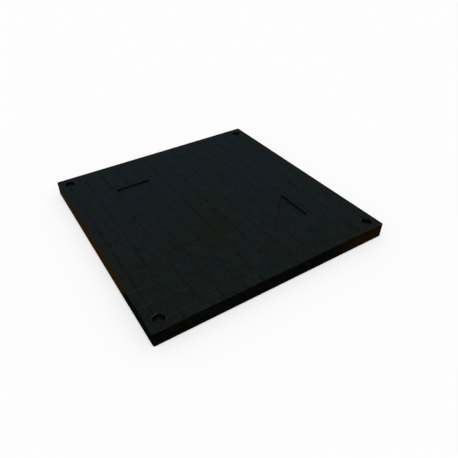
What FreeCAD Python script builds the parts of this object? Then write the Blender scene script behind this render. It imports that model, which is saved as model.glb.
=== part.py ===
import FreeCAD, Part
import math
import os

# Square moulded chamber cover. Millimetres, Z up, origin in the middle of the underside.

# Plate
SIDE = 450.0                # each side of the square
THICKNESS = 27.0            # underside to top face
CORNER_RADIUS = 3.0         # upright corners of the plate
EDGE_RADIUS = 1.5           # rounding of the top edge

# Ribbed underside
DECK = 6.0                  # thickness of the deck between the ribs
SKIRT_WALL = 6.0            # outer wall, at the underside
RIB_PITCH = 34.6            # rib to rib, counted from the middle of the plate
RIB_WALL = 3.0              # rib thickness, at the underside
RIB_DRAFT_DEG = 1.0         # lean of every wall of the cells

# Lines that show on the top face over the ribs
LINE_WIDTH = 3.0
LINE_DEPTH = 0.35
LINE_STOP = 1.0             # end of a line to the rounding of the top edge

# Corner holes
HOLE_INSET = 20.5           # hole axis to the sides of the plate
BOLT_HOLE = 5.5             # through hole
COUNTERBORE = 18.0
COUNTERBORE_DEPTH = 7.0
BOSS = 32.0                 # round boss under each hole

# Triangular recesses, each with its right angle towards a corner of the plate
RECESS_INSET = 93.0         # right-angled sides to the sides of the plate
RECESS_LEG = 75.0           # length of each right-angled side
RECESS_DEPTH = 3.6
RECESS_RADIUS = 2.0         # rounding of its three corners
PAN_WALL = 5.0              # material kept round and below a recess

# Small marks of the moulding
RIM_BREAK = 0.8             # broken edge round holes and recesses
GATE = 10.0                 # gate mark in the middle of the top face
GATE_DEPTH = 1.2

# Room that a cutting shape reaches past the face it cuts
OVERCUT = 1.0

HALF = SIDE / 2
FLOOR_Z = THICKNESS - RECESS_DEPTH
SEAT_Z = THICKNESS - COUNTERBORE_DEPTH
CELL_DEPTH = THICKNESS - DECK


def lean(height, degrees):
    """Sideways shift of a drafted wall over a height."""
    return height * math.tan(math.radians(degrees))


def rounded_outline(points, radius, z):
    """Closed wire through convex corner points at height z, every corner rounded by a tangent arc."""
    corners = [FreeCAD.Vector(x, y, z) for x, y in points]
    arcs = []
    for i, corner in enumerate(corners):
        before = (corners[i - 1] - corner).normalize()
        after = (corners[(i + 1) % len(corners)] - corner).normalize()
        half_angle = before.getAngle(after) / 2
        bisector = (before + after).normalize()
        centre = corner + bisector * (radius / math.sin(half_angle))
        reach = radius / math.tan(half_angle)
        arcs.append((corner + before * reach, centre - bisector * radius, corner + after * reach))
    edges = []
    for i, (start, middle, end) in enumerate(arcs):
        edges.append(Part.Arc(start, middle, end).toShape())
        edges.append(Part.LineSegment(end, arcs[(i + 1) % len(arcs)][0]).toShape())
    return Part.Wire(edges)


def square_points(half):
    return [(-half, -half), (half, -half), (half, half), (-half, half)]


def prism(outline, height):
    """Solid that stands on a closed wire."""
    return Part.Face(outline).extrude(FreeCAD.Vector(0, 0, height))


def plate():
    """Square plate with rounded upright corners and a rounded top edge."""
    solid = prism(rounded_outline(square_points(HALF), CORNER_RADIUS, 0), THICKNESS)
    return solid.makeFillet(EDGE_RADIUS, top_face(solid).Edges)


def top_face(solid):
    """The highest level face of a solid."""
    return max(solid.Faces, key=lambda face: face.BoundBox.ZMin)


def lattice():
    """Places of the rib centre lines along one axis, symmetrical about the middle."""
    count = int((HALF - SKIRT_WALL - RIB_WALL) / RIB_PITCH)
    return [k * RIB_PITCH for k in range(-count, count + 1)]


def surface_lines():
    """Shallow V grooves along every rib line, across the top face to just short of its rounded edge."""
    rise = LINE_DEPTH / (LINE_WIDTH / 2)
    half_mouth = LINE_WIDTH / 2 + OVERCUT / rise
    reach = HALF - EDGE_RADIUS - LINE_STOP
    grooves = []
    for place in lattice():
        root = FreeCAD.Vector(-reach, place, THICKNESS - LINE_DEPTH)
        left = FreeCAD.Vector(-reach, place + half_mouth, THICKNESS + OVERCUT)
        right = FreeCAD.Vector(-reach, place - half_mouth, THICKNESS + OVERCUT)
        along_x = flat_face([root, left, right]).extrude(FreeCAD.Vector(2 * reach, 0, 0))
        along_y = along_x.copy()
        along_y.rotate(FreeCAD.Vector(0, 0, 0), FreeCAD.Vector(0, 0, 1), 90)
        grooves += [along_x, along_y]
    return grooves


def rectangle(x_span, y_span, inset, z):
    """Corners of a rectangle at height z, drawn in from its spans by inset."""
    x0, x1 = x_span[0] + inset, x_span[1] - inset
    y0, y1 = y_span[0] + inset, y_span[1] - inset
    return [FreeCAD.Vector(x, y, z) for x, y in ((x0, y0), (x1, y0), (x1, y1), (x0, y1))]


def flat_face(points):
    return Part.Face(Part.makePolygon(points + points[:1]))


def frustum(foot, head):
    """Solid with flat sides between two outlines of as many corners, the foot below the head."""
    faces = [flat_face(foot[::-1]), flat_face(head)]
    for i in range(len(foot)):
        j = (i + 1) % len(foot)
        faces.append(flat_face([foot[i], foot[j], head[j], head[i]]))
    return Part.Solid(Part.Shell(faces))


def cell_spans():
    """Clear spans between the ribs along one axis, with the two narrow ones beside the skirt at the ends."""
    lines = lattice()
    inner = HALF - SKIRT_WALL
    low = [-inner] + [place + RIB_WALL / 2 for place in lines]
    high = [place - RIB_WALL / 2 for place in lines] + [inner]
    return list(zip(low, high))


def rib_cells():
    """Drafted hollows between the ribs, open at the underside. The four corner ones stay full."""
    spans = cell_spans()
    ends = (spans[0], spans[-1])
    cells = []
    for x_span in spans:
        for y_span in spans:
            if x_span in ends and y_span in ends:
                continue
            mouth = rectangle(x_span, y_span, -lean(OVERCUT, RIB_DRAFT_DEG), -OVERCUT)
            roof = rectangle(x_span, y_span, lean(CELL_DEPTH, RIB_DRAFT_DEG), CELL_DEPTH)
            cells.append(frustum(mouth, roof))
    return cells


def hole_centres():
    offset = HALF - HOLE_INSET
    return [FreeCAD.Vector(x, y, 0) for x, y in square_points(offset)]


def bosses():
    """Round posts that stay full under the corner holes."""
    return [Part.makeCylinder(BOSS / 2, THICKNESS, centre) for centre in hole_centres()]


def bolt_holes():
    """Counterbored through holes, each turned from one profile."""
    through = BOLT_HOLE / 2
    wide = COUNTERBORE / 2
    profile = [
        (0, -OVERCUT),
        (through, -OVERCUT),
        (through, SEAT_Z),
        (wide, SEAT_Z),
        (wide, THICKNESS + OVERCUT),
        (0, THICKNESS + OVERCUT),
    ]
    face = flat_face([FreeCAD.Vector(r, 0, z) for r, z in profile])
    tool = face.revolve(FreeCAD.Vector(0, 0, 0), FreeCAD.Vector(0, 0, 1), 360)
    holes = []
    for centre in hole_centres():
        hole = tool.copy()
        hole.translate(centre)
        holes.append(hole)
    return holes


def triangle(grow, z):
    """Rounded outline of the recess in the back left quarter, all its sides moved outward by grow."""
    corner_x = -(HALF - RECESS_INSET) - grow
    corner_y = (HALF - RECESS_INSET) + grow
    leg = RECESS_LEG + grow * (2 + math.sqrt(2))
    points = [(corner_x, corner_y), (corner_x, corner_y - leg), (corner_x + leg, corner_y)]
    return rounded_outline(points, RECESS_RADIUS + grow, z)


def half_turn(shape):
    """The same shape turned half round the middle of the plate."""
    turned = shape.copy()
    turned.rotate(FreeCAD.Vector(0, 0, 0), FreeCAD.Vector(0, 0, 1), 180)
    return turned


def recesses():
    """The two triangular pockets."""
    pocket = prism(triangle(0, FLOOR_Z), RECESS_DEPTH + OVERCUT)
    return [pocket, half_turn(pocket)]


def recess_pans():
    """Material that stays full round and below the two recesses."""
    pan = prism(triangle(PAN_WALL, FLOOR_Z - PAN_WALL), RECESS_DEPTH + PAN_WALL)
    return [pan, half_turn(pan)]


def gate_mark():
    """Round dimple where the moulding was filled, in the middle of the top face."""
    return Part.makeCylinder(GATE / 2, GATE_DEPTH + OVERCUT, FreeCAD.Vector(0, 0, THICKNESS - GATE_DEPTH))


def broken_rims(solid):
    """The solid with a small chamfer round every hole and recess in its top face."""
    face = top_face(solid)
    rims = [wire for wire in face.Wires if not wire.isSame(face.OuterWire)]
    return solid.makeChamfer(RIM_BREAK, [edge for wire in rims for edge in wire.Edges])


def chamber_cover():
    hollows = Part.makeCompound(rib_cells()).cut(bosses() + recess_pans())
    body = broken_rims(plate().cut(bolt_holes() + recesses()))
    body = body.cut(hollows.Solids)
    return body.cut(surface_lines() + [gate_mark()])


os.makedirs("parts", exist_ok=True)
cover = chamber_cover()
cover.exportStep("parts/chamber_cover.step")
print("solids", len(cover.Solids), "valid", cover.isValid(), "volume", round(cover.Volume), "faces", len(cover.Faces))
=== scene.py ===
import math
from collections import namedtuple
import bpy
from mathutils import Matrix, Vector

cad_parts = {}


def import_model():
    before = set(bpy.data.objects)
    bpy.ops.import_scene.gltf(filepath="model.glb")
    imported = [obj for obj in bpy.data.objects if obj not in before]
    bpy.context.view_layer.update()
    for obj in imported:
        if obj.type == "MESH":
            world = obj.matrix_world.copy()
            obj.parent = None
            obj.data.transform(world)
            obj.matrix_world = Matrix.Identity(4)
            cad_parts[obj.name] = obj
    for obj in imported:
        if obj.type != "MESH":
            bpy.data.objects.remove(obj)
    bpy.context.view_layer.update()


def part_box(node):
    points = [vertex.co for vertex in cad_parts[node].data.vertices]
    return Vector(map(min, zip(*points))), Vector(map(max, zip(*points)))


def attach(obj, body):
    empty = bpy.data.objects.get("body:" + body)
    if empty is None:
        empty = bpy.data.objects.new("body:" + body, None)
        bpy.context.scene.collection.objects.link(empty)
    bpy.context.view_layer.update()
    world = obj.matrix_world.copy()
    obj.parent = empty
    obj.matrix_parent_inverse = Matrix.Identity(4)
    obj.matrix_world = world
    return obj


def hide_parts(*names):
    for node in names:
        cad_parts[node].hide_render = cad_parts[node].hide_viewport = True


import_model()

from types import SimpleNamespace

import bmesh
import bpy
from mathutils import Matrix, Vector

# Sizes in metres. The plate's own size comes from its part in model.glb.
NODE = "chamber_cover"
LOW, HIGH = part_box(NODE)
HALF = (HIGH.x - LOW.x) / 2
TOP = HIGH.z
MM = 0.001

# Plate
CORNER_RADIUS = 3.0 * MM
EDGE_RADIUS = 1.5 * MM
EDGE_STEPS = 6
FOOT_RADIUS = 0.4 * MM

# Ribbed underside
DECK = 6.0 * MM
SKIRT_WALL = 6.0 * MM
RIB_PITCH = 34.6 * MM
RIB_WALL = 3.0 * MM
RIB_DRAFT = math.radians(1.0)
RIB_COUNT = 2 * int((HALF - SKIRT_WALL - RIB_WALL) / RIB_PITCH) + 1
OUTER_RIB = (RIB_COUNT - 1) / 2 * RIB_PITCH
CELL_CORNER = 2.5 * MM
CELL_FILLET = 1.5 * MM
CELL_RIM = 0.5 * MM

# Lines on the top face over the ribs
LINE_HALF_WIDTH = 1.9 * MM
LINE_DEPTH = 0.35 * MM
LINE_FADE = 5.0 * MM            # length over which each end fades out
LINE_STOP = 0.4 * MM            # end of a line to the rounding of the top edge
LINE_END = HALF - EDGE_RADIUS - LINE_STOP
LINE_RISE = 0.02                # share of the depth by which an end lies above the face
LINE_LIFT = 0.01 * MM           # keeps the brim of a line clear of the face
LINE_FLARE = 1.2                # width above the face, against the width in it
LINE_STEPS = 39
LINE_ACROSS = 8
LINE_WANDER = 0.10 * MM         # swing of a line's depth along its length
WANDER_SCALE = 23.0
WANDER_DETAIL = 1.0

# Corner holes
HOLE_INSET = 20.5 * MM
HOLE_OFFSET = HALF - HOLE_INSET
BOLT_RADIUS = 2.75 * MM
COUNTERBORE_RADIUS = 9.0 * MM
COUNTERBORE_DEPTH = 7.0 * MM
COUNTERBORE_FILLET = 0.4 * MM
BOSS_RADIUS = 16.0 * MM
HOLE_RIM = 0.9 * MM

# Dust caked in the bolt holes just below their seats
CRUST_RADIUS = 0.8 * MM
CRUST_DEPTH = 0.5 * MM
CRUST_HEIGHT = 5.0 * MM
CRUST_LIP_RADIUS = 2.2 * MM
CRUST_LIP_DEPTH = 0.3 * MM

# Triangular recesses
RECESS_INSET = 93.0 * MM
RECESS_OFFSET = HALF - RECESS_INSET
RECESS_LEG = 75.0 * MM
RECESS_DEPTH = 3.6 * MM
RECESS_RADIUS = 2.0 * MM
RECESS_DRAFT = math.radians(1.0)
RECESS_RIM = 0.8 * MM
RECESS_FILLET = 0.8 * MM
PAN_WALL = 5.0 * MM

# Gate mark
GATE_RADIUS = 5.0 * MM
GATE_DEPTH = 1.2 * MM
GATE_BRIM = 0.12 * MM
GATE_FLARE = 0.5 * MM
GATE_SLOPE = 0.36 * MM
GATE_FLOOR_INSET = 1.08 * MM
NUB_RADIUS = 1.3 * MM
NUB_TOP_RADIUS = 1.04 * MM
NUB_EYE_RADIUS = 0.26 * MM
NUB_HEIGHT = 0.45 * MM

# How far a cutting shape reaches past the face it cuts
OVERCUT = 1.0 * MM
RIM_OVERCUT = 0.3 * MM

# Fineness and finish of the mesh
ROUND_SEGMENTS = 56
CORNER_SEGMENTS = 6
FILLET_STEPS = 3
RIM_STEPS = 3
RIM_SWEEP = 66
SHARP_ANGLE = math.radians(28)
MERGE_DISTANCE = 0.0005 * MM
FIN_AREA = 0.001 * MM * MM


def arc_steps(start_deg, end_deg, count):
    """Angles in radians, evenly spaced, both ends included."""
    return [math.radians(start_deg + (end_deg - start_deg) * i / count) for i in range(count + 1)]


def rounded_outline(points, radius, segments=CORNER_SEGMENTS):
    """Points of a convex outline, counterclockwise, each corner an arc of the given radius."""
    outline = []
    corners = [Vector(p) for p in points]
    for i, corner in enumerate(corners):
        before = (corners[i - 1] - corner).normalized()
        after = (corners[(i + 1) % len(corners)] - corner).normalized()
        half_angle = before.angle(after) / 2
        bisector = (before + after).normalized()
        centre = corner + bisector * (radius / math.sin(half_angle))
        sweep = math.pi / 2 - half_angle
        middle = math.atan2(-bisector.y, -bisector.x)
        for k in range(segments + 1):
            angle = middle - sweep + 2 * sweep * k / segments
            outline.append((centre.x + radius * math.cos(angle), centre.y + radius * math.sin(angle)))
    return outline


def rectangle_outline(half_x, half_y, radius):
    """Function of an outward shift that gives the outline of a rounded rectangle."""
    def outline(grow):
        x, y = half_x + grow, half_y + grow
        return rounded_outline([(-x, -y), (x, -y), (x, y), (-x, y)], radius + grow)
    return outline


def circle_outline(radius):
    """Function of an outward shift that gives a circle."""
    def outline(grow):
        r = radius + grow
        turns = [2 * math.pi * k / ROUND_SEGMENTS for k in range(ROUND_SEGMENTS)]
        return [(r * math.cos(a), r * math.sin(a)) for a in turns]
    return outline


def recess_outline(grow):
    """Rounded triangle in the back left quarter, its sides moved outward by grow."""
    x, y = -RECESS_OFFSET - grow, RECESS_OFFSET + grow
    leg = RECESS_LEG + grow * (2 + math.sqrt(2))
    return rounded_outline([(x, y), (x, y - leg), (x + leg, y)], RECESS_RADIUS + grow)


def ring(outline, grow, z):
    return [(x, y, z) for x, y in outline(grow)]


def stacked(name, rings):
    """Mesh object closed round a stack of rings, each with as many points. It isn't put in the scene."""
    bm = bmesh.new()
    rows = [[bm.verts.new(point) for point in row] for row in rings]
    count = len(rows[0])
    for lower, upper in zip(rows, rows[1:]):
        for i in range(count):
            j = (i + 1) % count
            bm.faces.new((lower[i], lower[j], upper[j], upper[i]))
    bm.faces.new(rows[0])
    bm.faces.new(rows[-1])
    bmesh.ops.recalc_face_normals(bm, faces=bm.faces)
    mesh = bpy.data.meshes.new(name)
    bm.to_mesh(mesh)
    bm.free()
    return bpy.data.objects.new(name, mesh)


def turned(name, profile):
    """Mesh turned round Z from (radius, height) pairs, lowest first."""
    return stacked(name, [ring(circle_outline(0.0), radius, z) for radius, z in profile])


def pocket(name, outline, floor_z, mouth_z, rim, fillet, draft):
    """Cutting shape of a moulded pocket: flat floor, fillet, drafted wall and a rounded rim at its mouth."""
    up = 1 if mouth_z > floor_z else -1
    depth = abs(mouth_z - floor_z)
    taper = (depth - fillet - rim) * math.tan(draft)
    profile = []
    for a in arc_steps(0, 90, FILLET_STEPS):
        profile.append((-taper - fillet + fillet * math.sin(a), fillet - fillet * math.cos(a)))
    for a in arc_steps(0, RIM_SWEEP, RIM_STEPS):
        profile.append((rim - rim * math.cos(a), depth - rim + rim * math.sin(a)))
    last_out, last_up = profile[-1]
    rise = depth + RIM_OVERCUT - last_up
    profile.append((last_out + rise * math.tan(math.radians(RIM_SWEEP)), depth + RIM_OVERCUT))
    return stacked(name, [ring(outline, grow, floor_z + up * height) for grow, height in profile])


def plate():
    """Solid plate with rounded upright corners, a rounded top edge and a just broken foot."""
    outline = rectangle_outline(HALF, HALF, CORNER_RADIUS)
    profile = [(-FOOT_RADIUS, 0.0), (0.0, FOOT_RADIUS)]
    for a in arc_steps(0, 90, EDGE_STEPS):
        profile.append((EDGE_RADIUS * (math.cos(a) - 1), TOP - EDGE_RADIUS + EDGE_RADIUS * math.sin(a)))
    return stacked("plate", [ring(outline, grow, z) for grow, z in profile])


def line_cutter():
    """Long shallow trough along X that fades out at its ends, to be sunk into the top face."""
    across = [math.pi * (2 * i / LINE_ACROSS - 1) for i in range(LINE_ACROSS + 1)]
    flare = LINE_HALF_WIDTH * LINE_FLARE
    rings = []
    for k in range(LINE_STEPS + 1):
        x = LINE_END * (2 * k / LINE_STEPS - 1)
        fade = min(1.0, (LINE_END - abs(x)) / LINE_FADE)
        eased = fade * fade * (3 - 2 * fade)
        depth = LINE_DEPTH * ((1 + LINE_RISE) * eased - LINE_RISE)
        low = []
        for a in across:
            low.append((x, LINE_HALF_WIDTH * a / math.pi, TOP - depth * (1 + math.cos(a)) / 2 + LINE_LIFT))
        rings.append(low + [(x, flare, TOP + OVERCUT), (x, -flare, TOP + OVERCUT)])
    return stacked("line", rings)


def gate_cutter():
    """Dimple round a small raised nub: the mark of the gate that filled the mould."""
    base = TOP - GATE_DEPTH
    return turned("gate", [
        (NUB_EYE_RADIUS, base + NUB_HEIGHT),
        (NUB_TOP_RADIUS, base + NUB_HEIGHT),
        (NUB_RADIUS, base),
        (GATE_RADIUS - GATE_FLOOR_INSET, base),
        (GATE_RADIUS - GATE_SLOPE, base + GATE_SLOPE),
        (GATE_RADIUS, TOP - GATE_BRIM),
        (GATE_RADIUS + GATE_FLARE, TOP + OVERCUT)])


def bolt_hole_cutter():
    """Through hole, broken at its foot and narrowed by caked dust below the seat."""
    seat = TOP - COUNTERBORE_DEPTH
    return turned("bolt_hole", [
        (BOLT_RADIUS + OVERCUT + FOOT_RADIUS, -OVERCUT),
        (BOLT_RADIUS, FOOT_RADIUS),
        (BOLT_RADIUS, seat - CRUST_HEIGHT),
        (CRUST_RADIUS, seat - CRUST_HEIGHT / 2),
        (CRUST_RADIUS, seat - CRUST_DEPTH),
        (CRUST_LIP_RADIUS, seat - CRUST_LIP_DEPTH),
        (BOLT_RADIUS, seat),
        (BOLT_RADIUS, seat + OVERCUT)])


def cover_shapes():
    """The cutting shapes of the moulding by the tree's input names, and how far out the border cells lie."""
    cell_half = (RIB_PITCH - RIB_WALL) / 2
    outermost = OUTER_RIB + RIB_WALL / 2
    border_half = (HALF - SKIRT_WALL - outermost) / 2
    roof = TOP - DECK
    base = TOP - RECESS_DEPTH
    seat = TOP - COUNTERBORE_DEPTH
    cell = rectangle_outline(cell_half, cell_half, CELL_CORNER)
    narrow = rectangle_outline(cell_half, border_half, CELL_CORNER)
    bore = circle_outline(COUNTERBORE_RADIUS)
    shapes = {
        "Cell": pocket("cell", cell, roof, 0.0, CELL_RIM, CELL_FILLET, RIB_DRAFT),
        "Border Cell": pocket("border_cell", narrow, roof, 0.0, CELL_RIM, CELL_FILLET, RIB_DRAFT),
        "Boss": turned("boss", [(BOSS_RADIUS, -2 * OVERCUT), (BOSS_RADIUS, TOP)]),
        "Pan": stacked("pan", [ring(recess_outline, PAN_WALL, z) for z in (base - PAN_WALL, TOP)]),
        "Line": line_cutter(),
        "Counterbore": pocket("counterbore", bore, seat, TOP, HOLE_RIM, COUNTERBORE_FILLET, 0.0),
        "Bolt Hole": bolt_hole_cutter(),
        "Recess": pocket("recess", recess_outline, base, TOP, RECESS_RIM, RECESS_FILLET, RECESS_DRAFT),
        "Gate": gate_cutter(),
    }
    return shapes, outermost + border_half


def set_input(socket, value):
    """Links the socket or sockets that are given, or sets a plain value."""
    if isinstance(value, bpy.types.NodeSocket):
        socket.id_data.links.new(value, socket)
    elif isinstance(value, (list, tuple)) and value and isinstance(value[0], bpy.types.NodeSocket):
        for one in value:
            socket.id_data.links.new(one, socket)
    else:
        socket.default_value = value


def add_node(tree, kind, settings=None, **inputs):
    """New node with settings as attributes and inputs by socket name, spaces written as underscores."""
    node = tree.nodes.new(kind)
    for key, value in (settings or {}).items():
        setattr(node, key, value)
    for key, value in inputs.items():
        set_input(node.inputs[key.replace("_", " ")], value)
    return node


def math_node(tree, operation, first, second=0.0):
    node = add_node(tree, "ShaderNodeMath", {"operation": operation})
    set_input(node.inputs[0], first)
    set_input(node.inputs[1], second)
    return node.outputs[0]


def chained(tree, operation, values):
    """One operation carried through all values, from the first to the last."""
    result = values[0]
    for value in values[1:]:
        result = math_node(tree, operation, result, value)
    return result


def product(tree, *factors):
    return chained(tree, "MULTIPLY", factors)


def total(tree, *terms):
    return chained(tree, "ADD", terms)


def largest(tree, *values):
    return chained(tree, "MAXIMUM", values)


def difference(tree, first, second):
    return math_node(tree, "SUBTRACT", first, second)


def absolute(tree, value):
    return math_node(tree, "ABSOLUTE", value)


def vector(tree, x=0.0, y=0.0, z=0.0):
    return add_node(tree, "ShaderNodeCombineXYZ", X=x, Y=y, Z=z).outputs[0]


def noise(tree, place, scale, detail, roughness=0.5):
    node = add_node(tree, "ShaderNodeTexNoise", Vector=place, Scale=scale, Detail=detail, Roughness=roughness)
    return node.outputs["Fac"]


def centred(tree, value, amount):
    """A 0 to 1 value turned into a swing of plus and minus half the amount."""
    return product(tree, difference(tree, value, 0.5), amount)


def join(tree, *geometry):
    return add_node(tree, "GeometryNodeJoinGeometry", Geometry=list(reversed(geometry))).outputs[0]


def quarter_turned(tree, geometry, quarters):
    turn = (0, 0, math.pi / 2 * quarters)
    return add_node(tree, "GeometryNodeTransform", Geometry=geometry, Rotation=turn).outputs[0]


def copies(tree, points, shape):
    """Realized copies of a shape on points."""
    placed = add_node(tree, "GeometryNodeInstanceOnPoints", Points=points, Instance=shape)
    return add_node(tree, "GeometryNodeRealizeInstances", Geometry=placed.outputs[0]).outputs[0]


def grid_points(tree, span, count):
    """Square grid of points round the middle."""
    node = add_node(
        tree, "GeometryNodeMeshGrid", Size_X=span, Size_Y=span, Vertices_X=count, Vertices_Y=count)
    return node.outputs["Mesh"]


def row_points(tree, count, start, step):
    node = add_node(tree, "GeometryNodeMeshLine", Count=count, Start_Location=start, Offset=step)
    return node.outputs["Mesh"]


def cut(tree, body, tools):
    node = add_node(tree, "GeometryNodeMeshBoolean", {"operation": "DIFFERENCE", "solver": "MANIFOLD"})
    set_input(node.inputs["Mesh 1"], body)
    set_input(node.inputs["Mesh 2"], list(tools))
    return node.outputs["Mesh"]


SHAPE_INPUTS = ("Cell", "Border Cell", "Boss", "Pan", "Line", "Counterbore", "Bolt Hole", "Recess", "Gate")
NUMBER_INPUTS = ("Rib Pitch", "Border Offset", "Hole Offset", "Line Wander", "Sharp Angle", "Merge Distance")


def tree_inputs(tree):
    """Named inputs of the tree, and the geometry of the shapes among them."""
    face = tree.interface
    face.new_socket("Geometry", in_out="INPUT", socket_type="NodeSocketGeometry")
    face.new_socket("Geometry", in_out="OUTPUT", socket_type="NodeSocketGeometry")
    for name in SHAPE_INPUTS:
        face.new_socket(name, in_out="INPUT", socket_type="NodeSocketObject")
    for name in NUMBER_INPUTS:
        face.new_socket(name, in_out="INPUT", socket_type="NodeSocketFloat")
    face.new_socket("Rib Count", in_out="INPUT", socket_type="NodeSocketInt")
    face.new_socket("Material", in_out="INPUT", socket_type="NodeSocketMaterial")
    given = tree.nodes.new("NodeGroupInput").outputs
    shape = {}
    for name in SHAPE_INPUTS:
        shape[name] = add_node(tree, "GeometryNodeObjectInfo", Object=given[name]).outputs["Geometry"]
    return given, shape


def rib_hollows(tree, given, shape, hole_points):
    """Hollows between the ribs and along the skirt, kept off the bosses and the recess pans."""
    cells_wide = difference(tree, given["Rib Count"], 1)
    span = product(tree, difference(tree, cells_wide, 1), given["Rib Pitch"])
    inner = copies(tree, grid_points(tree, span, cells_wide), shape["Cell"])
    start = vector(tree, product(tree, span, -0.5), product(tree, given["Border Offset"], -1))
    border_points = row_points(tree, cells_wide, start, vector(tree, given["Rib Pitch"]))
    border = copies(tree, border_points, shape["Border Cell"])
    borders = [quarter_turned(tree, border, quarters) for quarters in range(4)]
    pans = join(tree, shape["Pan"], quarter_turned(tree, shape["Pan"], 2))
    return cut(tree, join(tree, inner, *borders), [pans, copies(tree, hole_points, shape["Boss"])])


def top_lines(tree, given, shape):
    """Faint lines over the ribs both ways, a little uneven in depth."""
    spaces = difference(tree, given["Rib Count"], 1)
    first = product(tree, spaces, product(tree, given["Rib Pitch"], -0.5))
    step = vector(tree, y=given["Rib Pitch"])
    points = row_points(tree, given["Rib Count"], vector(tree, y=first), step)
    row = copies(tree, points, shape["Line"])
    lines = []
    for quarters in range(2):
        laid = quarter_turned(tree, row, quarters)
        place = add_node(tree, "GeometryNodeInputPosition").outputs[0]
        wander = centred(tree, noise(tree, place, WANDER_SCALE, WANDER_DETAIL), given["Line Wander"])
        shift = vector(tree, z=wander)
        lines.append(add_node(tree, "GeometryNodeSetPosition", Geometry=laid, Offset=shift).outputs[0])
    return lines


def evenly_shaded(tree, body, sharp_angle):
    """Smooth faces, with sharp edges only where the form turns."""
    smooth = add_node(tree, "GeometryNodeSetShadeSmooth", Geometry=body, Shade_Smooth=True).outputs[0]
    angle = add_node(tree, "GeometryNodeInputMeshEdgeAngle").outputs["Unsigned Angle"]
    gentle = math_node(tree, "LESS_THAN", angle, sharp_angle)
    creased = add_node(
        tree, "GeometryNodeSetShadeSmooth", {"domain": "EDGE"}, Geometry=smooth, Shade_Smooth=gentle)
    return creased.outputs[0]


def cover_tree():
    """Geometry nodes that cut the ribs, lines, holes and recesses of the moulding out of a plain plate."""
    tree = bpy.data.node_groups.new("moulded_cover_tree", "GeometryNodeTree")
    given, shape = tree_inputs(tree)
    hole_points = grid_points(tree, product(tree, given["Hole Offset"], 2), 2)
    hollows = rib_hollows(tree, given, shape, hole_points)
    lines = top_lines(tree, given, shape)
    recesses = join(tree, shape["Recess"], quarter_turned(tree, shape["Recess"], 2))
    counterbores = copies(tree, hole_points, shape["Counterbore"])
    bolt_holes = copies(tree, hole_points, shape["Bolt Hole"])
    body = given["Geometry"]
    for tools in ([hollows], lines, [recesses], [counterbores], [bolt_holes], [shape["Gate"]]):
        body = cut(tree, body, tools)
    merged = add_node(
        tree, "GeometryNodeMergeByDistance", Geometry=body, Distance=given["Merge Distance"]).outputs[0]
    shaded_body = evenly_shaded(tree, merged, given["Sharp Angle"])
    realized = add_node(tree, "GeometryNodeRealizeInstances", Geometry=shaded_body).outputs[0]
    finished = add_node(tree, "GeometryNodeSetMaterial", Geometry=realized, Material=given["Material"])
    add_node(tree, "NodeGroupOutput", Geometry=finished.outputs[0])
    return tree


def add_modifiers(raw, values):
    """The tree with its inputs set by name, then even shading, then triangles that keep it."""
    tree = cover_tree()
    moulding = raw.modifiers.new("moulding", "NODES")
    moulding.node_group = tree
    for item in tree.interface.items_tree:
        if item.in_out == "INPUT" and item.name in values:
            moulding[item.identifier] = values[item.name]
    weighted = raw.modifiers.new("even_shading", "WEIGHTED_NORMAL")
    weighted.mode = "FACE_AREA"
    weighted.keep_sharp = True
    triangles = raw.modifiers.new("triangles", "TRIANGULATE")
    triangles.quad_method = "BEAUTY"
    triangles.ngon_method = "BEAUTY"
    triangles.keep_custom_normals = True
    raw.update_tag()


def remove_fins(mesh):
    """Takes out slivers that stand on an edge which two other faces share."""
    bm = bmesh.new()
    bm.from_mesh(mesh)
    crowded = [edge for edge in bm.edges if len(edge.link_faces) > 2]
    fins = {face for edge in crowded for face in edge.link_faces if face.calc_area() < FIN_AREA}
    bmesh.ops.delete(bm, geom=list(fins), context="FACES")
    bm.to_mesh(mesh)
    bm.free()


def moulded_cover(material):
    """The finished moulding as one plain mesh."""
    shapes, border_offset = cover_shapes()
    raw = plate()
    bpy.context.scene.collection.objects.link(raw)
    values = dict(shapes)
    values.update({
        "Rib Pitch": RIB_PITCH,
        "Rib Count": RIB_COUNT,
        "Border Offset": border_offset,
        "Hole Offset": HOLE_OFFSET,
        "Line Wander": LINE_WANDER,
        "Sharp Angle": SHARP_ANGLE,
        "Merge Distance": MERGE_DISTANCE,
        "Material": material,
    })
    add_modifiers(raw, values)
    depsgraph = bpy.context.evaluated_depsgraph_get()
    mesh = bpy.data.meshes.new_from_object(raw.evaluated_get(depsgraph))
    mesh.name = "moulded_cover"
    remove_fins(mesh)
    cover = bpy.data.objects.new("moulded_cover", mesh)
    bpy.context.scene.collection.objects.link(cover)
    for spent in (raw, *shapes.values()):
        bpy.data.objects.remove(spent)
    return cover


# Finish of the plastic, colours linear
SIDE_BLACK = (0.0028, 0.0030, 0.0020)
# Left side a little lighter and greener than the front: painted light.
LEFT_SIDE_LIT_BLACK = (0.0028, 0.0034, 0.0026)
# Pocket walls darker than the top: painted shade; slanted recess walls lighter: painted light.
SHADED_WALL = (0.0032, 0.0068, 0.0067)
LIT_SLANT_WALL = (0.0062, 0.0100, 0.0098)
# Top bloom, partly a painted sky reflection; lighter and bluer at the back as painted sky reflection.
FRONT_BLOOM_AND_REFLECTION = (0.0058, 0.0086, 0.0089)
BACK_BLOOM_AND_SKY_REFLECTION = (0.0049, 0.0093, 0.0109)
# Painted light on the middle of the counterbore floors.
HOLE_FLOOR_LIGHT = (0.0140, 0.0182, 0.0180)
SOIL = (0.0096, 0.0088, 0.0068)
# Brown on the top's left margin; on the sides, a painted reflection of a brown floor.
LEFT_MARGIN_BROWN = (0.0115, 0.0075, 0.0026)
PALE_BROWN_REFLECTION = (0.0230, 0.0190, 0.0135)
BROWN_REFLECTION = (0.0285, 0.0135, 0.0046)
DARK_BROWN_REFLECTION = (0.0175, 0.0076, 0.0017)
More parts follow.
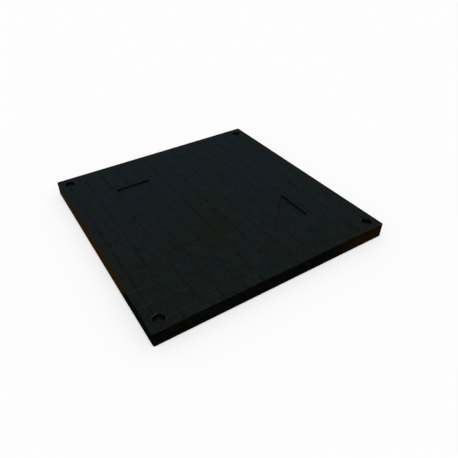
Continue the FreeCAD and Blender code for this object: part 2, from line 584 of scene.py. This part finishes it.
# Worn grey rounding, partly a painted highlight; painted highlight on the far side of the hole rims.
RUBBED_AND_HIGHLIGHT = (0.0230, 0.0225, 0.0205)
HOLE_RIM_HIGHLIGHT = (0.0195, 0.0235, 0.0225)
OLIVE_TINT = (1.04, 0.97, 0.66)
SLATE_TINT = (1.13, 0.955, 1.03)

# Sheen, roughness and grain
ROUGH_TOP = 0.50
ROUGH_SIDE = 0.85
GLOSS_LEVEL = 0.0003
TOP_SHEEN = 0.05
SHEEN_ROUGHNESS = 0.4
GRAIN_SCALE = 1500.0
GRAIN_DETAIL = 2.0
GRAIN_STRENGTH = 0.15
GRAIN_DEPTH = 0.05 * MM

# Noise that swings a value by plus and minus half the amount
Swing = namedtuple("Swing", "scale detail rough amount")
RAGGED = Swing(120.0, 4.0, 0.65, 12.0 * MM)
BROWN_DRIFT = Swing(45.0, 3.0, 0.5, 0.25)
TRACE_WOBBLE = Swing(60.0, 2.0, 0.5, 1.8 * MM)
SPECKS = Swing(420.0, 2.0, 0.5, 1.0)
SKY_REFLECTION_DRIFT = Swing(30.0, 3.0, 0.5, 0.22)
BLUE_SWING = Swing(38.0, 2.0, 0.5, 1.0)
STAIN_EDGE = Swing(36.0, 4.0, 0.6, 0.11)

# Noise from low to high that makes patches from least to most, softly or in proportion
Mottle = namedtuple("Mottle", "scale detail rough low high least most smooth")
TRACE_BREAKS = Mottle(40.0, 3.0, 0.6, low=0.35, high=0.65, least=0.0, most=1.9, smooth=False)
CLOUDS = Mottle(75.0, 4.0, 0.6, low=0.25, high=0.75, least=0.86, most=1.14, smooth=False)
RED_MOTTLE = Mottle(42.0, 2.0, 0.5, low=0.3, high=0.7, least=0.86, most=1.14, smooth=False)
SLATE_PATCHES = Mottle(17.0, 4.0, 0.6, low=0.42, high=0.54, least=0.0, most=1.0, smooth=True)
OLIVE_PATCHES = Mottle(19.0, 4.0, 0.6, low=0.46, high=0.58, least=0.0, most=0.85, smooth=True)
HOLE_LIGHT_PATCHES = Mottle(260.0, 2.0, 0.5, low=0.35, high=0.60, least=0.3, most=1.0, smooth=True)
SIDE_MOTTLE = Mottle(90.0, 5.0, 0.75, low=0.3, high=0.7, least=0.3, most=1.7, smooth=False)
SOIL_PATCHES = Mottle(70.0, 3.0, 0.6, low=0.35, high=0.65, least=0.45, most=1.0, smooth=True)
RUB_AND_HIGHLIGHT_SPOTS = Mottle(95.0, 4.0, 0.6, low=0.42, high=0.65, least=0.0, most=0.35, smooth=True)
HOLE_RIM_HIGHLIGHT_PATCHES = Mottle(150.0, 2.0, 0.5, low=0.44, high=0.60, least=0.0, most=1.0, smooth=True)
BROWN_STREAKS = Mottle(260.0, 3.0, 0.5, low=0.3, high=0.7, least=0.6, most=1.0, smooth=True)
BROWN_MOTTLE = Mottle(240.0, 4.0, 0.7, low=0.3, high=0.7, least=0.6, most=1.4, smooth=False)
ROUGH_MOTTLE = Mottle(160.0, 3.0, 0.5, low=0.3, high=0.7, least=0.9, most=1.1, smooth=False)
OTHER_NOISE = (3.0, 1.0, 2.0)

# Zones run from one level to another, 0 and 1 where none are named.
# First heights, then slopes by how far they face up.
HIGH_ZONE = (TOP - 2.0 * MM, TOP - 0.8 * MM)
SUNK_ZONE = (TOP - 2.0 * MM, TOP - 3.0 * MM)
DECK_ZONE = (TOP - DECK, TOP - DECK + 0.5 * MM)
BELOW_RIM = (TOP - 1.0 * MM, TOP - 10.0 * MM)
BELOW_RIM_LEVELS = (0.25, 1.0)
UP_FACING_SLOPES = (0.86, 0.995)
LEVEL_SLOPES = (0.90, 0.985)
ROUNDING_START = (0.45, 0.75)
ROUNDING_END = (0.99, 0.93)
UPRIGHT_SLOPES = (0.80, 0.50)

# Tips of the plate's corners, along both axes together
TIP_ZONE = (2 * HALF - 45.0 * MM, 2 * HALF - 18.0 * MM)
NEAR_TIP = (-0.36, -0.42)
NEAR_TIP_LEVELS = (1.0, 0.87)

# Painted shade and highlight over the rib lines: dark across, pale or dull along, by place
TRACE_HALF_WIDTH = 3.4 * MM
TRACE_END = (OUTER_RIB + 2 * TRACE_HALF_WIDTH, OUTER_RIB + TRACE_HALF_WIDTH)
TRACE_SHADE = 0.19
TRACE_HIGHLIGHT = 0.12
TRACE_DULL_SHADE = -0.045
DULL_RIGHT = (0.03, 0.09)
PALE_LEFT = (-0.13, -0.20)
DULL_BEHIND = (-0.13, -0.08)
FRONT_TO_BACK = (-0.03, 0.06)

# Drifts of the top's colour, with a painted sky reflection lighter and bluer towards the back
SPECK_ZONE = (0.0, 0.16)
SPECK_LEVELS = (1.5, 1.0)
DIAGONAL_SLANT = 0.3
SKY_REFLECTION_ZONE = (-0.20, 0.09)
RED_TILT = (1.04, 0.97)
BLUE_ZONE = (-0.10, 0.12)
BLUE_LEVELS = (1.0, 0.35)
SLATE_FRONT = (-0.20, -0.06)
SLATE_BACK = (0.19, 0.08)
OLIVE_ZONE = (0.06, -0.06)

# Olive stain that runs forward from the gate mark, a little to the left
STAIN_SLANT = 0.5
STAIN_SCALE = 0.9
STAIN_START = (-45.0 * MM, -10.0 * MM)
STAIN_STOP = (210.0 * MM, 80.0 * MM)
STAIN_SIDES = (58.0 * MM, 22.0 * MM)

# Pockets in the top: painted shade at their walls, painted light on the counterbore floors, painted highlight
# on the hole rims
HOLE_LIGHT_REACH = (7.0 * MM, 1.0 * MM)
RECESS_MARGIN = 5.0 * MM
RECESS_LOSS = 0.30
RECESS_SIDE = (RECESS_OFFSET + 2.0 * MM, RECESS_OFFSET)
HOLE_SIDE = (COUNTERBORE_RADIUS + 1.0 * MM, COUNTERBORE_RADIUS)
HOLE_LOSS = 0.42
INSIDE_SKIRT = (HALF - 3.0 * MM, HALF - 4.0 * MM)
SLANT_REACH = (3.0 * MM, 1.5 * MM)
RIM_RING = (COUNTERBORE_RADIUS + 2.6 * MM, COUNTERBORE_RADIUS + 1.2 * MM)
BEYOND_LEVELS = (0.25, 1.0)

# Margins of the top: beige soil, brown on the left, painted shade inside the far edges, and wear with a
# painted highlight at the tips
FAR_MARGIN = (HALF - 22.0 * MM, HALF - 4.0 * MM)
FRONT_MARGIN = (-HALF + 11.0 * MM, -HALF + 1.0 * MM)
FRONT_MARGIN_START = (0.05, 0.16)
TIP_SHARE_ZONE = (-0.1, 0.1)
TIP_SHARE_LEVELS = (0.1, 1.0)
LEFT_MARGIN = (-HALF + 8.5 * MM, -HALF + 0.5 * MM)
LEFT_MARGIN_SHARE = 0.8
FAR_RIM = (HALF - 6.5 * MM, HALF - 3.5 * MM)
FAR_RIM_SHARE = 0.85
TIP_RUB_AND_HIGHLIGHT = 0.4

# Sides, with a painted reflection of a brown floor on the left one up to a slanting end, and on the right end
# of the front one
LEFT_BLACK_ZONE = (-HALF + 1.5 * MM, -HALF + 0.5 * MM)
SIDE_FACE = (-HALF + 1.6 * MM, -HALF + 0.8 * MM)
BROWN_LEFT_END = (-114.0 * MM, -110.0 * MM)
BROWN_END_SLANT = 0.75
PALE_BROWN_ZONE = (0.08, 0.20)
BROWN_FRONT_START = (100.0 * MM, 165.0 * MM)
BROWN_FRONT_SHARE = 0.75


def ramp(tree, value, low, high, to_low=0.0, to_high=1.0, smooth=True):
    """Value carried from one range to another, held at both ends."""
    settings = {"interpolation_type": "SMOOTHSTEP" if smooth else "LINEAR", "clamp": True}
    node = add_node(tree, "ShaderNodeMapRange", settings, Value=value)
    for name, limit in (("From Min", low), ("From Max", high), ("To Min", to_low), ("To Max", to_high)):
        set_input(node.inputs[name], limit)
    return node.outputs["Result"]


def swing(tree, place, kind):
    return centred(tree, noise(tree, place, kind.scale, kind.detail, kind.rough), kind.amount)


def mottled(tree, place, kind):
    grey = noise(tree, place, kind.scale, kind.detail, kind.rough)
    return ramp(tree, grey, kind.low, kind.high, kind.least, kind.most, kind.smooth)


# Places of the sockets on a mix of colours
MIX_FACTOR = 0
MIX_COLOURS = (6, 7)
MIX_RESULT = 2


def blend(tree, factor, first, second):
    """Colour between two, by a factor."""
    node = add_node(tree, "ShaderNodeMix", {"data_type": "RGBA"})
    set_input(node.inputs[MIX_FACTOR], factor)
    for place, colour in zip(MIX_COLOURS, (first, second)):
        set_input(node.inputs[place], (*colour, 1.0) if isinstance(colour, tuple) else colour)
    return node.outputs[MIX_RESULT]


def vector_node(tree, operation, first, second):
    node = add_node(tree, "ShaderNodeVectorMath", {"operation": operation})
    set_input(node.inputs[0], first)
    set_input(node.inputs[1], second)
    return node.outputs[0]


def tinted(tree, colour, tint):
    """Colour times another, channel by channel."""
    return vector_node(tree, "MULTIPLY", colour, tint)


def elsewhere(tree, place):
    """Another part of the same noise."""
    return vector_node(tree, "ADD", place, OTHER_NOISE)


def shaded(tree, colour, factor):
    """Colour made lighter or darker by a factor."""
    node = add_node(tree, "ShaderNodeVectorMath", {"operation": "SCALE"}, Scale=factor)
    set_input(node.inputs[0], colour)
    return node.outputs[0]


def length(tree, x, y):
    node = add_node(tree, "ShaderNodeVectorMath", {"operation": "LENGTH"})
    set_input(node.inputs[0], vector(tree, x, y))
    return node.outputs["Value"]


def separate(tree, vector_socket):
    return add_node(tree, "ShaderNodeSeparateXYZ", Vector=vector_socket).outputs


def surface(tree):
    """Where a point of the surface lies and faces, in the object's own frame."""
    coords = tree.nodes.new("ShaderNodeTexCoord").outputs
    at = SimpleNamespace(place=coords["Object"])
    at.elsewhere = elsewhere(tree, at.place)
    at.x, at.y, at.z = separate(tree, at.place)
    at.facing = separate(tree, coords["Normal"])[2]
    across = absolute(tree, at.x)
    along = absolute(tree, at.y)
    at.outer = largest(tree, across, along)
    at.tip = ramp(tree, total(tree, across, along), *TIP_ZONE)
    at.off_hole = length(tree, difference(tree, across, HOLE_OFFSET), difference(tree, along, HOLE_OFFSET))
    at.high = ramp(tree, at.z, *HIGH_ZONE)
    at.sunk = ramp(tree, at.z, *SUNK_ZONE)
    at.aslant = total(tree, at.y, product(tree, at.x, DIAGONAL_SLANT))
    at.ragged = swing(tree, at.place, RAGGED)
    slanted = total(tree, at.y, at.ragged, product(tree, at.z, BROWN_END_SLANT))
    at.left_part = ramp(tree, slanted, *BROWN_LEFT_END)
    return at


def rib_trace(tree, across, place):
    """Soft stripe over every rib line, counted along one axis from the middle, uneven along its length."""
    wobble = swing(tree, place, TRACE_WOBBLE)
    from_edge = total(tree, across, wobble, OUTER_RIB + RIB_PITCH / 2)
    phase = math_node(tree, "FLOORED_MODULO", from_edge, RIB_PITCH)
    away = absolute(tree, difference(tree, phase, RIB_PITCH / 2))
    stripe = ramp(tree, away, TRACE_HALF_WIDTH, 0.0)
    inside = ramp(tree, absolute(tree, across), *TRACE_END)
    return product(tree, stripe, inside, mottled(tree, place, TRACE_BREAKS))


def painted_trace_light(tree, at):
    """Painted shade and highlight over the rib lines, dark across and pale or dull along by place. The floors
    of the pockets have none.
    """
    dark = product(tree, rib_trace(tree, at.x, at.place), TRACE_SHADE)
    pale_or_dull = ramp(tree, at.x, *DULL_RIGHT, TRACE_HIGHLIGHT, TRACE_DULL_SHADE)
    front = total(tree, pale_or_dull, ramp(tree, at.x, *PALE_LEFT, 0.0, TRACE_HIGHLIGHT))
    back = ramp(tree, at.x, *DULL_BEHIND, -TRACE_DULL_SHADE, TRACE_DULL_SHADE)
    along = ramp(tree, at.y, *FRONT_TO_BACK, front, back)
    pale = product(tree, rib_trace(tree, at.y, at.place), along)
    return product(tree, difference(tree, pale, dark), at.high)


def pocket_shade(tree, at):
    """Painted shade: darker along the foot of the straight recess walls and in the counterbores."""
    to_wall = difference(tree, RECESS_OFFSET, at.outer)
    at_foot = ramp(tree, to_wall, 0.0, RECESS_MARGIN, RECESS_LOSS, 0.0)
    recess = product(tree, at_foot, ramp(tree, at.outer, *RECESS_SIDE))
    counterbore = ramp(tree, at.off_hole, *HOLE_SIDE, 0.0, HOLE_LOSS)
    loss = total(tree, recess, counterbore)
    return difference(tree, 1.0, product(tree, loss, at.sunk))


def bloom_and_reflection_level(tree, at):
    """How light the top is: cloudy and speckled bloom, partly a painted sky reflection, with painted shade
    and highlight over the rib lines and painted shade in the pockets.
    """
    clouds = mottled(tree, at.place, CLOUDS)
    speckled = ramp(tree, at.y, *SPECK_ZONE, *SPECK_LEVELS)
    specks = total(tree, 1.0, product(tree, swing(tree, at.place, SPECKS), speckled))
    near_tip = ramp(tree, total(tree, at.x, at.y), *NEAR_TIP, *NEAR_TIP_LEVELS)
    traced = total(tree, 1.0, painted_trace_light(tree, at))
    return product(tree, clouds, specks, traced, near_tip, pocket_shade(tree, at))


def bloom_and_sky_reflection(tree, at):
    """Colour of the bloom before its stains, lighter and bluer to the back as a painted sky reflection,
    mottled in red and blue.
    """
    # Painted sky reflection: lighter and bluer towards the back.
    sky_reflection_share = ramp(tree, total(tree, at.aslant, swing(tree, at.place, SKY_REFLECTION_DRIFT)), *SKY_REFLECTION_ZONE)
    colour = blend(tree, sky_reflection_share, FRONT_BLOOM_AND_REFLECTION, BACK_BLOOM_AND_SKY_REFLECTION)
    red = product(tree, mottled(tree, at.place, RED_MOTTLE), ramp(tree, at.x, -HALF, HALF, *RED_TILT))
    blue_share = ramp(tree, at.y, *BLUE_ZONE, *BLUE_LEVELS)
    blue = total(tree, 1.0, product(tree, swing(tree, at.elsewhere, BLUE_SWING), blue_share))
    return tinted(tree, colour, vector(tree, red, 1.0, blue))


def gate_stain(tree, at):
    """Amount of the olive stain that runs from the gate mark towards the front."""
    forward = product(tree, total(tree, product(tree, at.x, STAIN_SLANT), at.y), -STAIN_SCALE)
    aside = product(tree, difference(tree, at.x, product(tree, at.y, STAIN_SLANT)), STAIN_SCALE)
    off = total(tree, absolute(tree, aside), swing(tree, at.place, STAIN_EDGE))
    begun = ramp(tree, forward, *STAIN_START)
    ended = ramp(tree, forward, *STAIN_STOP)
    return product(tree, ramp(tree, off, *STAIN_SIDES), begun, ended)


def bloom_and_reflection_colour(tree, at, level):
    """Grey top with slate and olive patches, and painted light on the middle of the counterbore floors."""
    colour = bloom_and_sky_reflection(tree, at)
    band = product(tree, ramp(tree, at.aslant, *SLATE_FRONT), ramp(tree, at.y, *SLATE_BACK))
    slate = product(tree, mottled(tree, at.place, SLATE_PATCHES), band)
    colour = blend(tree, slate, colour, tinted(tree, colour, SLATE_TINT))
    olive = product(tree, mottled(tree, at.elsewhere, OLIVE_PATCHES), ramp(tree, at.aslant, *OLIVE_ZONE))
    stain = largest(tree, olive, gate_stain(tree, at))
    colour = blend(tree, stain, colour, tinted(tree, colour, OLIVE_TINT))
    colour = shaded(tree, colour, level)
    # Painted light on the middle of the counterbore floors.
    in_hole = ramp(tree, at.off_hole, *HOLE_LIGHT_REACH)
    lit_floor = product(tree, in_hole, at.sunk, mottled(tree, at.place, HOLE_LIGHT_PATCHES))
    return blend(tree, lit_floor, colour, HOLE_FLOOR_LIGHT)


def bare_plastic(tree, at):
    """Black of the sides and the underside, uneven, the left side lighter as painted light; pocket walls in
    the top darkened as painted shade, the slanted ones lighter as painted light.
    """
    # Painted light: the left side a little lighter than the front.
    left = ramp(tree, at.x, *LEFT_BLACK_ZONE)
    black = blend(tree, left, SIDE_BLACK, LEFT_SIDE_LIT_BLACK)
    black = shaded(tree, black, mottled(tree, at.place, SIDE_MOTTLE))
    in_pocket = product(tree, ramp(tree, at.z, *DECK_ZONE), ramp(tree, at.outer, *INSIDE_SKIRT))
    slant = absolute(tree, difference(tree, at.y, at.x))
    off_slant = absolute(tree, difference(tree, slant, 2 * RECESS_OFFSET - RECESS_LEG))
    # Painted shade on the pocket walls, and painted light on the slanted recess walls.
    wall = blend(tree, ramp(tree, off_slant, *SLANT_REACH), SHADED_WALL, LIT_SLANT_WALL)
    return blend(tree, in_pocket, black, wall)


def soil_and_shade(tree, at, colour):
    """Beige soil on the margins of the top at the back, the corners and the right, brown along the left
    margin, and painted shade in a dark band inside the far edges.
    """
    back = largest(tree, ramp(tree, at.x, *FAR_MARGIN), ramp(tree, at.y, *FAR_MARGIN))
    front = product(tree, ramp(tree, at.y, *FRONT_MARGIN), ramp(tree, at.x, *FRONT_MARGIN_START))
    corner = product(tree, at.tip, ramp(tree, at.y, *TIP_SHARE_ZONE, *TIP_SHARE_LEVELS))
    amount = product(tree, largest(tree, back, front, corner), mottled(tree, at.place, SOIL_PATCHES))
    level = ramp(tree, at.facing, *LEVEL_SLOPES)
    colour = blend(tree, product(tree, amount, level, at.high), colour, SOIL)
    left = product(tree, ramp(tree, at.x, *LEFT_MARGIN), at.left_part)
    colour = blend(tree, product(tree, left, at.high, LEFT_MARGIN_SHARE), colour, LEFT_MARGIN_BROWN)
    # Painted shade: a dark band just inside the far edges.
    far_painted_shade = ramp(tree, largest(tree, at.x, at.y), *FAR_RIM, 0.0, FAR_RIM_SHARE)
    return blend(tree, product(tree, far_painted_shade, at.high), colour, SIDE_BLACK)


def rubbed_and_highlit(tree, at, colour):
    """Top edge and corners worn grey in places, partly a painted highlight; painted highlight on the far side
    of the hole rims.
    """
    # Wear with a painted highlight on the rounding of the top edge.
    rounding = product(tree, ramp(tree, at.facing, *ROUNDING_START), ramp(tree, at.facing, *ROUNDING_END))
    amount = total(tree, mottled(tree, at.place, RUB_AND_HIGHLIGHT_SPOTS), product(tree, at.tip, TIP_RUB_AND_HIGHLIGHT))
    colour = blend(tree, product(tree, rounding, at.high, amount), colour, RUBBED_AND_HIGHLIGHT)
    # Painted highlight on the far side of each hole rim.
    rim = ramp(tree, at.off_hole, *RIM_RING)
    row = product(tree, math_node(tree, "SIGN", at.y), HOLE_OFFSET)
    beyond = ramp(tree, difference(tree, at.y, row), 0.0, COUNTERBORE_RADIUS, *BEYOND_LEVELS)
    rim_highlight_patches = mottled(tree, at.elsewhere, HOLE_RIM_HIGHLIGHT_PATCHES)
    return blend(tree, product(tree, rim, beyond, rim_highlight_patches, at.high), colour, HOLE_RIM_HIGHLIGHT)


def painted_brown_reflection(tree, at, colour):
    """Painted reflection of a brown floor on the left side and, below the rim, on the right end of the front
    side.
    """
    upright = ramp(tree, absolute(tree, at.facing), *UPRIGHT_SLOPES)
    streaks = mottled(tree, at.place, BROWN_STREAKS)
    brown_mottle = mottled(tree, at.elsewhere, BROWN_MOTTLE)
    start = ramp(tree, total(tree, at.x, at.ragged), *BROWN_FRONT_START, 0.0, BROWN_FRONT_SHARE)
    below_rim = ramp(tree, at.z, *BELOW_RIM, *BELOW_RIM_LEVELS)
    front = product(tree, ramp(tree, at.y, *SIDE_FACE), start, below_rim)
    dark_brown_colour = shaded(tree, DARK_BROWN_REFLECTION, brown_mottle)
    # Painted reflection of a brown floor on the sides.
    colour = blend(tree, product(tree, front, upright, streaks), colour, dark_brown_colour)
    left = product(tree, ramp(tree, at.x, *SIDE_FACE), at.left_part)
    brown_drift = total(tree, at.y, swing(tree, at.place, BROWN_DRIFT))
    brown_colour = shaded(tree, blend(tree, ramp(tree, brown_drift, *PALE_BROWN_ZONE), BROWN_REFLECTION, PALE_BROWN_REFLECTION), brown_mottle)
    return blend(tree, product(tree, left, upright, streaks), colour, brown_colour)


def black_plastic():
    """Black moulded plastic: grey bloom on top, partly a painted sky reflection; soil and painted shade on
    its margins; worn edges with painted highlights; a painted reflection of a brown floor on two sides.
    """
    material = bpy.data.materials.new("black_moulded_plastic")
    material.use_nodes = True
    tree = material.node_tree
    shader = tree.nodes["Principled BSDF"]
    at = surface(tree)
    # Up-facing surfaces get the grey bloom, partly a painted sky reflection that makes the top lighter than
    # the bare sides.
    facing_up = ramp(tree, at.facing, *UP_FACING_SLOPES)
    level = bloom_and_reflection_level(tree, at)
    colour = blend(tree, facing_up, bare_plastic(tree, at), bloom_and_reflection_colour(tree, at, level))
    colour = soil_and_shade(tree, at, colour)
    colour = rubbed_and_highlit(tree, at, colour)
    colour = painted_brown_reflection(tree, at, colour)
    rough = ramp(tree, facing_up, 0.0, 1.0, ROUGH_SIDE, ROUGH_TOP, smooth=False)
    tree.links.new(colour, shader.inputs["Base Color"])
    tree.links.new(product(tree, rough, mottled(tree, at.place, ROUGH_MOTTLE)), shader.inputs["Roughness"])
    tree.links.new(product(tree, facing_up, level, TOP_SHEEN), shader.inputs["Coat Weight"])
    shader.inputs["Coat Roughness"].default_value = SHEEN_ROUGHNESS
    shader.inputs["Specular IOR Level"].default_value = GLOSS_LEVEL
    grain = noise(tree, at.place, GRAIN_SCALE, GRAIN_DETAIL)
    bump = add_node(tree, "ShaderNodeBump", Height=grain, Strength=GRAIN_STRENGTH, Distance=GRAIN_DEPTH)
    tree.links.new(bump.outputs["Normal"], shader.inputs["Normal"])
    return material


# Floor
FLOOR_REACH = 6.0
FLOOR_DROP = 0.2 * MM
FLOOR_COLOUR = (0.985, 0.985, 0.985, 1.0)
FLOOR_ROUGHNESS = 0.9

# Light: surroundings as the object gets them, and a wide sun
WORLD_LIGHT = 0.33
SOFT_SUN = 2.15
SUN_ANGLE = math.radians(32)
SUN_AZIMUTH = math.radians(-45)
SUN_ELEVATION = math.radians(78)
SUN_DISTANCE = 3.0

# Camera, as found from the corners and holes of the plate in the picture
CAMERA_AZIMUTH = math.radians(-30.150)
CAMERA_ELEVATION = math.radians(38.984)
CAMERA_ROLL = math.radians(1.511)
CAMERA_DISTANCE = 0.75325
CAMERA_TARGET = Vector((-0.04637, -0.06943, TOP))
CAMERA_LENS = 33.784
CAMERA_SHIFT_X = 0.05116
SENSOR = 36.0
CLIP_START = 0.01
CLIP_END = 50.0


def direction(azimuth, elevation):
    """Unit vector towards a place round the object, azimuth 0 at the front."""
    level = math.cos(elevation)
    return Vector((math.sin(azimuth) * level, -math.cos(azimuth) * level, math.sin(elevation)))


def floor():
    """Wide pale floor under the object."""
    near, far = -FLOOR_REACH, FLOOR_REACH
    corners = [(near, near, 0), (far, near, 0), (far, far, 0), (near, far, 0)]
    mesh = bpy.data.meshes.new("floor")
    mesh.from_pydata(corners, [], [(0, 1, 2, 3)])
    material = bpy.data.materials.new("pale_floor")
    material.use_nodes = True
    shader = material.node_tree.nodes["Principled BSDF"]
    shader.inputs["Base Color"].default_value = FLOOR_COLOUR
    shader.inputs["Roughness"].default_value = FLOOR_ROUGHNESS
    shader.inputs["Specular IOR Level"].default_value = 0.0
    mesh.materials.append(material)
    plane = bpy.data.objects.new("floor", mesh)
    plane.location.z = -FLOOR_DROP
    bpy.context.scene.collection.objects.link(plane)


def world():
    """Even white surroundings that show as white and light a little less."""
    scene_world = bpy.data.worlds.new("studio")
    scene_world.use_nodes = True
    tree = scene_world.node_tree
    path = tree.nodes.new("ShaderNodeLightPath").outputs
    seen = largest(tree, path["Is Camera Ray"], path["Is Glossy Ray"], path["Is Transmission Ray"])
    strength = add_node(tree, "ShaderNodeMapRange", Value=seen, To_Min=WORLD_LIGHT, To_Max=1.0)
    background = tree.nodes["Background"]
    background.inputs["Color"].default_value = (1, 1, 1, 1)
    tree.links.new(strength.outputs["Result"], background.inputs["Strength"])
    bpy.context.scene.world = scene_world


def soft_light():
    """Wide soft light from overhead, even over the whole floor."""
    data = bpy.data.lights.new("soft_light", "SUN")
    data.energy = SOFT_SUN
    data.angle = SUN_ANGLE
    towards = direction(SUN_AZIMUTH, SUN_ELEVATION)
    light = bpy.data.objects.new("soft_light", data)
    light.rotation_euler = towards.to_track_quat("Z", "Y").to_euler()
    light.location = towards * SUN_DISTANCE
    bpy.context.scene.collection.objects.link(light)


def camera():
    """Camera at the photograph's place, turned and rolled as there."""
    back = direction(CAMERA_AZIMUTH, CAMERA_ELEVATION)
    right = Vector((0, 0, 1)).cross(back).normalized()
    up = back.cross(right)
    rolled_right = right * math.cos(CAMERA_ROLL) - up * math.sin(CAMERA_ROLL)
    rolled_up = up * math.cos(CAMERA_ROLL) + right * math.sin(CAMERA_ROLL)
    data = bpy.data.cameras.new("camera")
    data.sensor_width = SENSOR
    data.lens = CAMERA_LENS
    data.shift_x = CAMERA_SHIFT_X
    data.clip_start = CLIP_START
    data.clip_end = CLIP_END
    eye = bpy.data.objects.new("camera", data)
    axes = Matrix((rolled_right, rolled_up, back)).transposed().to_4x4()
    eye.matrix_world = Matrix.Translation(CAMERA_TARGET + back * CAMERA_DISTANCE) @ axes
    bpy.context.scene.collection.objects.link(eye)
    bpy.context.scene.camera = eye


piece = moulded_cover(black_plastic())
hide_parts(NODE)
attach(piece, "root")

floor()
world()
soft_light()
camera()
bpy.context.scene.view_settings.view_transform = "Standard"
